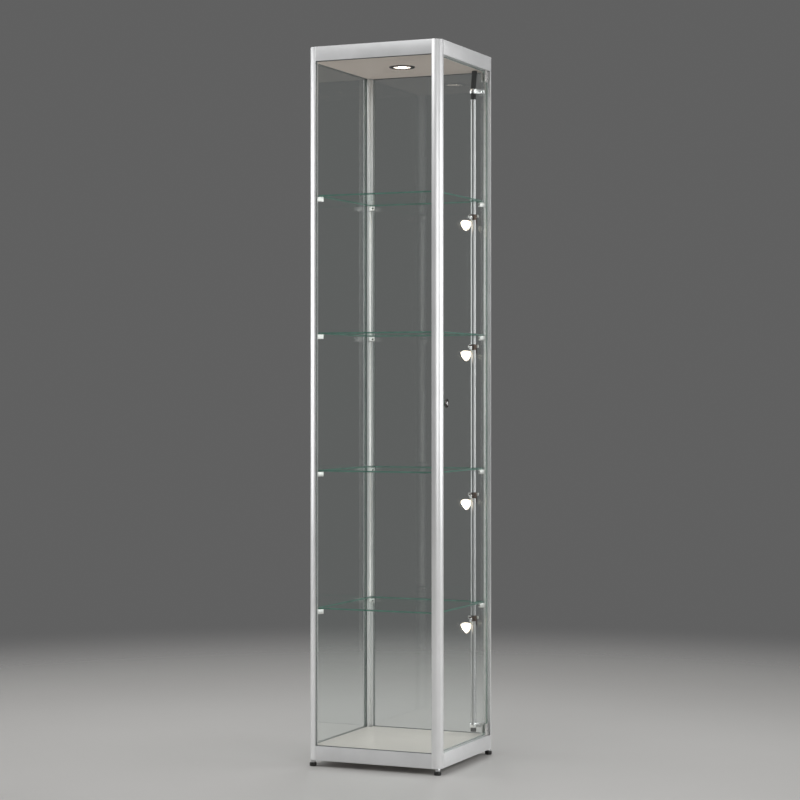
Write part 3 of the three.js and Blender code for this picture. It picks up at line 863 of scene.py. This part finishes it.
lockLook = {
    "barrel": [(6.2, -15.5), (9.2, -15.5), (9.2, 0.3), (12.5, 0.3), (12.5, 2.2), (11.9, 3.3), (10.7, 4.0),
        (8.9, 4.2), (7.4, 3.4), (6.2, 3.2)],
    "plug": [(0, -21.5), (4.8, -21.5), (4.8, -18.5), (3, -18.5), (3, -15.9), (5.9, -15.9), (5.9, 4.4),
        (5.4, 5.0), (4.4, 5.4), (0, 5.4)],
    "keyway": (-3.4, 3.4, -0.55, 0.55, 1, 7),
    "nut": {"outer": 12, "bore": 9.25, "low": -10.5, "high": -6.3, "edge": 0.5},
    # the cam's flat plate, its crank and its tip, which comes close behind the front post when locked
    "cam": [(-26, 8, -7, 7, -18.2, -16.2), (-26, -24, -6, 6, -17, -9), (-40, -24, -6, 6, -11.2, -9)],
    "camHole": 3.3, "camEdge": 0.5,
}


def boxInMm(sizes, matrix):
    return box(*[value * mm for value in sizes], matrix)


def makeLock(size):
    toOutside = Vector((1, 0, 0)).to_track_quat("Z", "Y").to_matrix().to_4x4()
    out = Matrix.Translation((doorHigh.x, lockAxis.y, lockAxis.z)) @ toOutside @ rotated(-quarter)
    barrel = spin(inMm(size["barrel"]), 72, out)
    asPiece(barrel, "lockBarrel", "darkNickel", "door", ["lock_barrel"])
    nut = size["nut"]
    loops = [arc(0, 0, nut["outer"] * mm, 0, turn, 6), arc(0, 0, nut["bore"] * mm, 0, turn, 36)]
    bm = prism(loops, nut["low"] * mm, nut["high"] * mm, out)
    asPiece(bm, "lockNut", "zinc", "door", bevel=nut["edge"] * mm)
    bm = cutFrom(spin(inMm(size["plug"]), 48, out), boxInMm(size["keyway"], out))
    asPiece(bm, "lockPlug", "chrome", "lock_rotor", ["lock_plug"])
    plate, crank, tip = [boxInMm(sizes, out) for sizes in size["cam"]]
    hole = rod(size["camHole"] * mm, -20 * mm, -14 * mm, 24, out)
    bm = cutFrom(joined(joined(plate, crank), tip), hole)
    asPiece(bm, "lockCam", "zinc", "lock_rotor", ["lock_cam"], bevel=size["camEdge"] * mm)


makeLock(lockLook)
print("lock done")


# light rail: a tube with two contact grooves, an end cap, two brackets and the feed lead's sleeve

tubeLook = {"groove": 0.9 * mm, "grooveHalf": 0.09, "grooveAngles": (radians(25), radians(65)),
    "points": 96, "bore": 6.2 * mm, "stripSink": 0.1 * mm, "stripThick": 0.35 * mm,
    "stripHalf": 0.45 * mm, "stripEnd": 2 * mm}
capLook = {"low": [(0, 0), (6.4, 0), (7.6, 0.5), (8.2, 1.6)],  # mm from the cap's low end
    "high": [(8.2, -1.6), (7.9, -0.3), (5.8, -0.3)]}  # mm from the tube's low end
bracketLook = {"ring": 10.8 * mm, "arm": 9 * mm, "armIn": 1.5 * mm, "armEnd": 0.6 * mm, "split": 1.0 * mm,
    "splitIn": 2 * mm, "splitEnd": 0.62, "window": 2.6 * mm, "windowAt": 0.68, "boltAt": 0.46,
    "past": 1 * mm, "edge": 0.8 * mm, "bores": {"bottom": 8.3 * mm, "top": 8.6 * mm},
    "bolts": {"Head Radius": 3.2 * mm, "Head Height": 1.6 * mm, "Key Size": 1.5 * mm}}
leadLook = {"radius": 7.4 * mm, "ribDepth": 0.03, "ribs": 30, "start": 0.3,
    # mm aside from the rail's axis, and height
    "bends": [(0, 0, 1895), (0.2, 0, 1912), (1.5, 0.5, 1935), (3.5, 1.3, 1960), (4, 1.5, 1978.7)]}
railLow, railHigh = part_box("light_rail")
tubeRadius = (railHigh.x - railLow.x) / 2
atRail = Matrix.Translation((railAxis.x, railAxis.y, 0))


def tubeLoop(size):
    loop = []
    for i in range(size["points"]):
        angle = turn * i / size["points"]
        near = min(abs((angle - a + pi) % turn - pi) for a in size["grooveAngles"])
        r = tubeRadius - (size["groove"] if near < size["grooveHalf"] else 0)
        loop.append((r * cos(angle), r * sin(angle)))
    return loop


def makeTube(size):
    loops = [tubeLoop(size), arc(0, 0, size["bore"], 0, turn, 48)]
    bm = prism(loops, railLow.z, railHigh.z, atRail)
    asPiece(bm, "lightRailTube", "tubeSatin", "root", ["light_rail"], angle=40)
    r, half = tubeRadius - size["groove"] + size["stripSink"], size["stripHalf"]
    z0, z1 = railLow.z + size["stripEnd"], railHigh.z - size["stripEnd"]
    strips = [box(r, r + size["stripThick"], -half, half, z0, z1, atRail @ rotated(angle))
        for angle in size["grooveAngles"]]
    asPiece(together(strips), "contactStrips", "contactBrass", "root")


def makeEndCap(size):
    low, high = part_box("rail_cap_bottom")
    profile = inMm(size["low"], low.z) + inMm(size["high"], railLow.z)
    profile += [(profile[-1][0], high.z), (0, high.z)]
    asPiece(spin(profile, 48, atRail), "railEndCap", "blackRubber", "root",
        ["rail_cap_bottom"])


def makeBracket(level, size):
    # a ring and arm in two halves, pinched by a bolt, with its foot in the post's inner corner
    node = "rail_bracket_" + level
    z0, z1 = lowOf(node).z, highOf(node).z
    middle = (z0 + z1) / 2
    past0, past1 = z0 - size["past"], z1 + size["past"]
    bore = size["bores"][level]
    w = size["arm"] / 2
    armStart = size["ring"] - size["armIn"]
    reach = (legInner - railAxis.x) * sqrt(2) - size["armEnd"]
    lay = atRail @ rotated(pi / 4)
    bm = rod(size["ring"], z0, z1, 64, lay)
    arm = [(armStart, -w), (reach - w, -w), (reach, 0), (reach - w, w), (armStart, w)]
    bm = joined(bm, prism([arm], z0, z1, lay))
    bm = cutFrom(bm, rod(bore, past0, past1, 64, lay))
    half = size["split"] / 2
    bm = cutFrom(bm, box(bore - size["splitIn"], reach * size["splitEnd"], -half, half,
        past0, past1, lay))
    across = lay @ Matrix.Translation((reach * size["windowAt"], 0, middle)) @ rotated(quarter, "X")
    bm = cutFrom(bm, rod(size["window"], -20 * mm, 20 * mm, 24, across))
    asPiece(bm, "railBracket." + level, "chrome", "root", [node], bevel=size["edge"])
    sideways = lay.to_3x3() @ Vector((0, 1, 0))
    spots = [(lay @ Vector((reach * size["boltAt"], side * w, middle)), sideways * side) for side in (1, -1)]
    addScrews("bracketBolt." + level, spots, size["bolts"], "zinc", "root")


def makeLead(size):
    start = Vector((railAxis.x, railAxis.y, railHigh.z + size["start"] * mm))
    bends = [Vector((railAxis.x + x * mm, railAxis.y + y * mm, z * mm)) for x, y, z in size["bends"]]

    def radiusAt(along):
        return size["radius"] * (1 - size["ribDepth"] * (0.5 + 0.5 * sin(along * size["ribs"] * turn)))

    asPiece(bentRod(smoothPath([start, *bends], 16), radiusAt, 36), "feedSleeve", "blackRubber", "root",
        ["rail_feed_lead"], angle=60)


makeTube(tubeLook)
makeEndCap(capLook)
makeBracket("bottom", bracketLook)
makeBracket("top", bracketLook)
makeLead(leadLook)
print("light rail done")


# spotlights; a clip's local X points to the front, and its heights are measured from the tilt pin

clipLook = {
    "collar": [(8.3, -4), (10.2, -4), (10.9, -3.3), (10.9, 0.5), (10.3, 1.3), (10.3, 4), (10.9, 4.8),
        (10.9, 11.3), (10.2, 12), (8.3, 12)],
    "tongue": [(8.3, -16), (10.2, -16), (10.9, -15.3), (10.9, -3), (8.3, -3)],
    "tongueCut": (-3, 20, -20, 20, -30, -3.98),  # leaves the tongue's back half
    "ears": {"half": 2 * mm, "inner": 10 * mm, "outer": 16 * mm, "low": 2.5 * mm, "high": 10.5 * mm},
    "plate": {"start": 10.1 * mm, "hole": 1.9 * mm, "knuckle": 23 * mm, "halfWide": 5 * mm, "low": 6.8 * mm,
        "high": 9.8 * mm},
    "screwHeights": (-11 * mm, 8 * mm), "screwAt": 10.7 * mm,
}
yokeLook = {"cheekIn": 2.1 * mm, "cheek": 2.0 * mm, "cheekRadius": 3.4 * mm, "cheekTop": 5 * mm,
    "pinHole": 1.3 * mm, "taper": 1 * mm, "shoulder": 4.8 * mm, "shoulderLow": 4.2 * mm,
    "top": 6.5 * mm, "stud": 1.5 * mm, "studHigh": 10.8 * mm, "nut": 3.1 * mm, "nutLow": 10.1 * mm,
    "nutHigh": 11.8 * mm, "edge": 0.3 * mm}
lampLook = {
    "flutes": 24, "fluteDepth": 0.03, "turnTo": radians(225), "aimDown": radians(30),
    "drop": 10 * mm,  # from the tilt pin to the lamp's own axis
    "eye": (2.6, 1.7), "pin": (1.0, 4), "web": (1, 5.8, -1.7, 1.7, -1.2, 1.2),
    "cup": [(0, -2), (3.6, -2), (4.4, -1.7), (5, -0.6), (5, 0.8), (4.5, 1.2), (4.5, 2), (5, 2.4), (5, 5.5),
        (4.7, 6), (3.7, 6), (3.7, 0), (0, 0)],
    "shell": [(0, 0.3), (3.4, 0.3), (3.4, 6.3), (4.7, 7.2), (6.6, 8.6), (9.0, 11.2), (11.0, 14), (12.9, 17.2),
        (14.4, 20.5), (15.5, 23.8), (16.1, 26.3), (16.1, 27.6), (14.9, 28.2), (13.4, 25), (11.4, 20),
        (8.4, 15), (4.6, 11.4), (0, 10.8)],
    "rim": [(14.6, 27.9), (15.9, 27.75), (16.5, 28), (16.5, 28.8), (15.9, 29.2), (14.8, 29.2)],
    "capsule": [(0, 11), (2.2, 11.2), (2.4, 13), (2.4, 19), (1.7, 21.2), (0.6, 22.4), (0, 22.6)],
}


def makeClip(n, at, size):
    body = f"lamp_carrier_{n}"
    lay = Matrix.Translation(at) @ rotated(-quarter)
    tongue = spin(inMm(size["tongue"]), 64, lay)
    tongue = cutFrom(tongue, boxInMm(size["tongueCut"], lay))
    bm = joined(spin(inMm(size["collar"]), 64, lay), tongue)
    asPiece(bm, f"clipCollar.{n}", "clipBronze", body, [f"lamp_clip_{n}"], bevel=0.25 * mm)
    ear = size["ears"]
    spans = [(-ear["outer"], -ear["inner"]), (ear["inner"], ear["outer"])]
    ears = [box(-ear["half"], ear["half"], *span, ear["low"], ear["high"], lay) for span in spans]
    asPiece(together(ears), f"clipEars.{n}", "nickel", body, bevel=0.9 * mm, segments=3)
    plate = size["plate"]
    x, w, start = plate["knuckle"], plate["halfWide"], plate["start"]
    outline = [(start, -w), *arc(x, 0, w, -quarter, 2 * quarter, 24), (start, w)]
    bm = prism([outline, arc(x, 0, plate["hole"], 0, turn, 24)], plate["low"], plate["high"], lay)
    asPiece(bm, f"clipPlate.{n}", "clipBronze", body, bevel=0.4 * mm)
    spots = [(lay @ Vector((-size["screwAt"], 0, z)), (0, 1, 0)) for z in size["screwHeights"]]
    addScrews(f"clipScrews.{n}", spots, {"Head Radius": 1.9 * mm, "Key Size": 0.8 * mm}, "zinc", body)


def makeYoke(n, at, size):
    # two cheeks for the tilt pin under a shoulder, and a stud through the clip's plate with its nut
    body = f"lamp_swivel_{n}"
    lay = Matrix.Translation(at) @ rotated(lampLook["turnTo"])
    r = size["cheekRadius"]
    side = r - size["taper"]
    loop = [*arc(0, 0, r, pi, pi, 24), (side, size["cheekTop"]), (-side, size["cheekTop"])]
    hole = arc(0, 0, size["pinHole"], 0, turn, 20)
    cheeks = []
    for y in (size["cheekIn"] + size["cheek"], -size["cheekIn"]):
        stand = lay @ Matrix.Translation((0, y, 0)) @ rotated(quarter, "X")
        cheeks.append(prism([loop, hole], 0, size["cheek"], stand))
    bm = joined(together(cheeks), rod(size["shoulder"], size["shoulderLow"], size["top"], 32, lay))
    bm = joined(bm, rod(size["stud"], size["top"] - 1 * mm, size["studHigh"], 20, lay))
    asPiece(bm, f"lampYoke.{n}", "chrome", body, [f"lamp_yoke_{n}"], bevel=size["edge"])
    nut = prism([arc(0, 0, size["nut"], 0, turn, 6)], size["nutLow"], size["nutHigh"], lay)
    asPiece(nut, f"yokeNut.{n}", "zinc", body, bevel=size["edge"])


def makeHead(n, at, size):
    # local Z runs along the beam, and the lamp hangs on the +X side of the tilt pin
    body = f"lamp_head_{n}"
    lay = Matrix.Translation(at) @ rotated(size["turnTo"])
    lay = lay @ rotated(quarter + size["aimDown"], "Y")
    across = lay @ rotated(quarter, "X")
    axis = lay @ Matrix.Translation((size["drop"], 0, 0))

    def spun(part, sides):
        return spin(inMm(size[part]), sides, axis)

    eye, eyeHalf = size["eye"]
    pin, pinHalf = size["pin"]
    bm = joined(rod(eye * mm, -eyeHalf * mm, eyeHalf * mm, 32, across),
        rod(pin * mm, -pinHalf * mm, pinHalf * mm, 20, across))
    bm = joined(bm, boxInMm(size["web"], lay))
    asPiece(bm, f"socketArm.{n}", "zinc", body, [f"lamp_socket_{n}"], bevel=0.2 * mm)
    asPiece(spun("cup", 48), f"lampSocket.{n}", "ceramic", body)
    shell = spin(inMm(size["shell"]), 96, axis, size["flutes"], size["fluteDepth"])
    asPiece(shell, f"reflectorLamp.{n}", "lampGlass", body, [f"lamp_bulb_{n}"])
    asPiece(spun("rim", 72), f"lampRim.{n}", "chrome", body)
    asPiece(spun("capsule", 32), f"lampCapsule.{n}", "capsuleGlass", body)


for n in range(1, 5):
    knuckle = jointAt(f"lamp_tilt_{n}")
    makeClip(n, Vector((railAxis.x, railAxis.y, knuckle.z)), clipLook)
    makeYoke(n, knuckle, yokeLook)
    makeHead(n, knuckle, lampLook)
print("spotlights done")


# downlight and transformer, in mm; the downlight's heights are measured from the ceiling

downlightLook = {
    "top": 1.5,  # thickness of the can's lid
    "inside": [(28.5, 4), (25.2, 4), (25.2, -1.6)],
    "outside": [(26, -2.6), (27.6, -3), (33.5, -2.9), (35.6, -2.2), (36.4, -1.0), (36.4, -0.05), (30, -0.05)],
    "lens": {"low": 4.2, "high": 7, "radius": 28.2, "rings": 12, "ringPitch": 2.3, "ringWide": 0.6,
        "ringDeep": 0.5},
}
transformerLook = {"halfLong": 75, "earStart": 75.2, "earEnd": 82, "earHalf": 10, "earHigh": 3,
    "screwAt": 78.6, "screwHigh": 3.6, "edge": 2, "earEdge": 0.6}


def makeDownlight(size):
    top = highOf("downlight_body").z
    lid = top - size["top"] * mm
    inside = inMm(size["inside"], ceilingLow)
    outside = inMm(size["outside"], ceilingLow)
    profile = [(0, lid), (inside[0][0], lid), *inside, *outside, (outside[-1][0], top), (0, top)]
    asPiece(spin(profile, 96), "downlightHousing", "darkNickel", "root",
        ["downlight_body"])
    lens = size["lens"]
    rings = [(0, lens["low"])]
    for k in range(1, lens["rings"] + 1):  # pressed rings in the lens
        r = k * lens["ringPitch"]
        z = lens["low"] + (lens["ringDeep"] if k % 2 else 0)
        rings += [(r - lens["ringWide"], z), (r, z)]
    rings += [(lens["radius"], lens["low"]), (lens["radius"], lens["high"]), (0, lens["high"])]
    asPiece(spin(inMm(rings, ceilingLow), 72), "downlightLens", "lensGlass", "root",
        ["downlight_lens"])


def makeTransformer(look):
    low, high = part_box("transformer")
    mid = (low + high) / 2
    size = {key: value * mm for key, value in look.items()}
    body = box(mid.x - size["halfLong"], mid.x + size["halfLong"], low.y, high.y, low.z, high.z)
    asPiece(body, "transformerCase", "casePlastic", "root", ["transformer"],
        bevel=size["edge"], segments=3)
    ears, spots = [], []
    for side in (-1, 1):
        x0, x1 = sorted((mid.x + side * size["earStart"], mid.x + side * size["earEnd"]))
        ears.append(box(x0, x1, mid.y - size["earHalf"], mid.y + size["earHalf"], low.z,
            low.z + size["earHigh"]))
        screw = Vector((mid.x + side * size["screwAt"], mid.y, low.z + size["screwHigh"]))
        spots.append((screw, (0, 0, 1)))
    asPiece(together(ears), "transformerEars", "casePlastic", "root",
        bevel=size["earEdge"])
    addScrews("transformerScrews", spots, {"Head Radius": 2.6 * mm}, "zinc", "root")


makeDownlight(downlightLook)
makeTransformer(transformerLook)
print("ceiling done")


# levelling feet, in mm above the floor: a ribbed pad, a hexagon neck and a threaded stud in the post

footLook = {
    "pad": [(0, 0), (8.6, 0), (9.4, 0.5), (9.8, 1.4), (9.8, 2), (9.4, 2.4), (9.4, 8.8), (9.0, 9.8),
        (7.8, 10.4), (0, 10.4)],
    "ribs": {"Ring Radius": 9.35 * mm, "Rib Height": 6 * mm, "Count": 28}, "ribMiddle": 5.6,
    "neck": 7.4, "neckLow": 10.45, "neckFit": 0.05, "neckEdge": 0.6,
    "threads": 16, "thread": [(2.0, 0), (2.4, 0.5), (2.4, 0.8)], "pitch": 1.4,
    "studEnd": [(2.0, 41.2), (0, 41.8)],
}


def makeFeet(size):
    for corner in quarterTurns:
        node = "foot_" + corner
        body = "levelling_foot_" + corner
        mid = middleOf(node)
        at = Matrix.Translation((mid.x, mid.y, lowOf(node).z))
        neckTop = frameLow - lowOf(node).z
        pad = spin(inMm(size["pad"]), 64, at)
        asPiece(pad, "footPad." + corner, "footPlastic", body, [node])
        seed = seedAt([at @ Vector((0, 0, size["ribMiddle"] * mm))])
        grown(seed, "footRibs." + corner, trees["rib"], size["ribs"], "footPlastic", body)
        neck = prism([arc(0, 0, size["neck"] * mm, 0, turn, 6)], size["neckLow"] * mm,
            neckTop - size["neckFit"] * mm, at)
        asPiece(neck, "footNut." + corner, "zinc", body, bevel=size["neckEdge"] * mm)
        stud = [(0, neckTop)]
        for k in range(size["threads"]):
            stud += inMm(size["thread"], neckTop + k * size["pitch"] * mm)
        stud += inMm(size["studEnd"])
        asPiece(spin(stud, 24, at), "footStud." + corner, "zinc", body)


makeFeet(footLook)
print("feet done")


# floor, background and lights; the floor fades out between the two fade radii

studio = {"world": 0.118, "floor": (0.60, 0.59, 0.575), "floorRadius": 14.0, "floorThick": 2 * mm,
    "fadeFrom": 0.8, "fadeTo": 3.7}
softboxes = {
    "leftSoftbox": {"at": (-3.5, -1.0, 1.7), "size": (3.2, 3.2), "watts": 72},
    "rightFrontSoftbox": {"at": (3.15, -2.4, 1.8), "size": (2.0, 3.2), "watts": 42},
    "rightSoftbox": {"at": (3.8, 1.0, 1.7), "size": (2.6, 3.2), "watts": 72},
    "frontTopSoftbox": {"at": (-0.5, -3.0, 4.4), "size": (3.0, 2.0), "watts": 56},
    "topSoftbox": {"at": (0.2, 0.2, 4.8), "size": (2.6, 2.6), "watts": 22},
    "rearSoftbox": {"at": (-1.0, 3.4, 4.2), "size": (2.4, 1.8), "watts": 55},
}
caseMiddle = Vector((0, 0, 1.0))


def makeStage(size):
    radius, low = size["floorRadius"], -size["floorThick"]
    floor = asObject(spin([(0, low), (radius, low), (radius, 0), (0, 0)], 96), "floor")
    material, tree = startFinish("floorPale")
    point = addNode(tree, "ShaderNodeTexCoord", None, None, "Object")
    away = addNode(tree, "ShaderNodeVectorMath", {"operation": "LENGTH"}, {0: point}, "Value")
    fade = away.over(size["fadeFrom"], size["fadeTo"] - size["fadeFrom"])
    base = tint(tree, noise(tree, place(tree), 2.5, 3), darker(size["floor"], 0.96), size["floor"])
    matt = principled(tree, {"Base Color": base, "Roughness": 0.42, "Specular IOR Level": 0.35})
    gone = addNode(tree, "ShaderNodeBsdfTransparent")
    endFinish(tree, addNode(tree, "ShaderNodeMixShader", None, {0: fade, 1: matt, 2: gone}))
    floor.data.materials.append(material)
    world = bpy.data.worlds.new("studio")
    scene.world = world
    world.use_nodes = True
    world.node_tree.nodes["Background"].inputs["Color"].default_value = (size["world"],) * 3 + (1,)


def makeLights():
    for name, look in softboxes.items():
        data = bpy.data.lights.new(name, "AREA")
        data.shape = "RECTANGLE"
        data.size, data.size_y = look["size"]
        data.energy = look["watts"]
        light = looseObject(data, name)
        light.location = look["at"]
        aim = caseMiddle - Vector(look["at"])
        light.rotation_euler = aim.to_track_quat("-Z", "Y").to_euler()
        light.visible_camera = False


makeStage(studio)
makeLights()
scene.cycles.transparent_max_bounces = 24  # so that many panes in a row stay clear
scene.view_settings.view_transform = "Standard"
print("stage done")
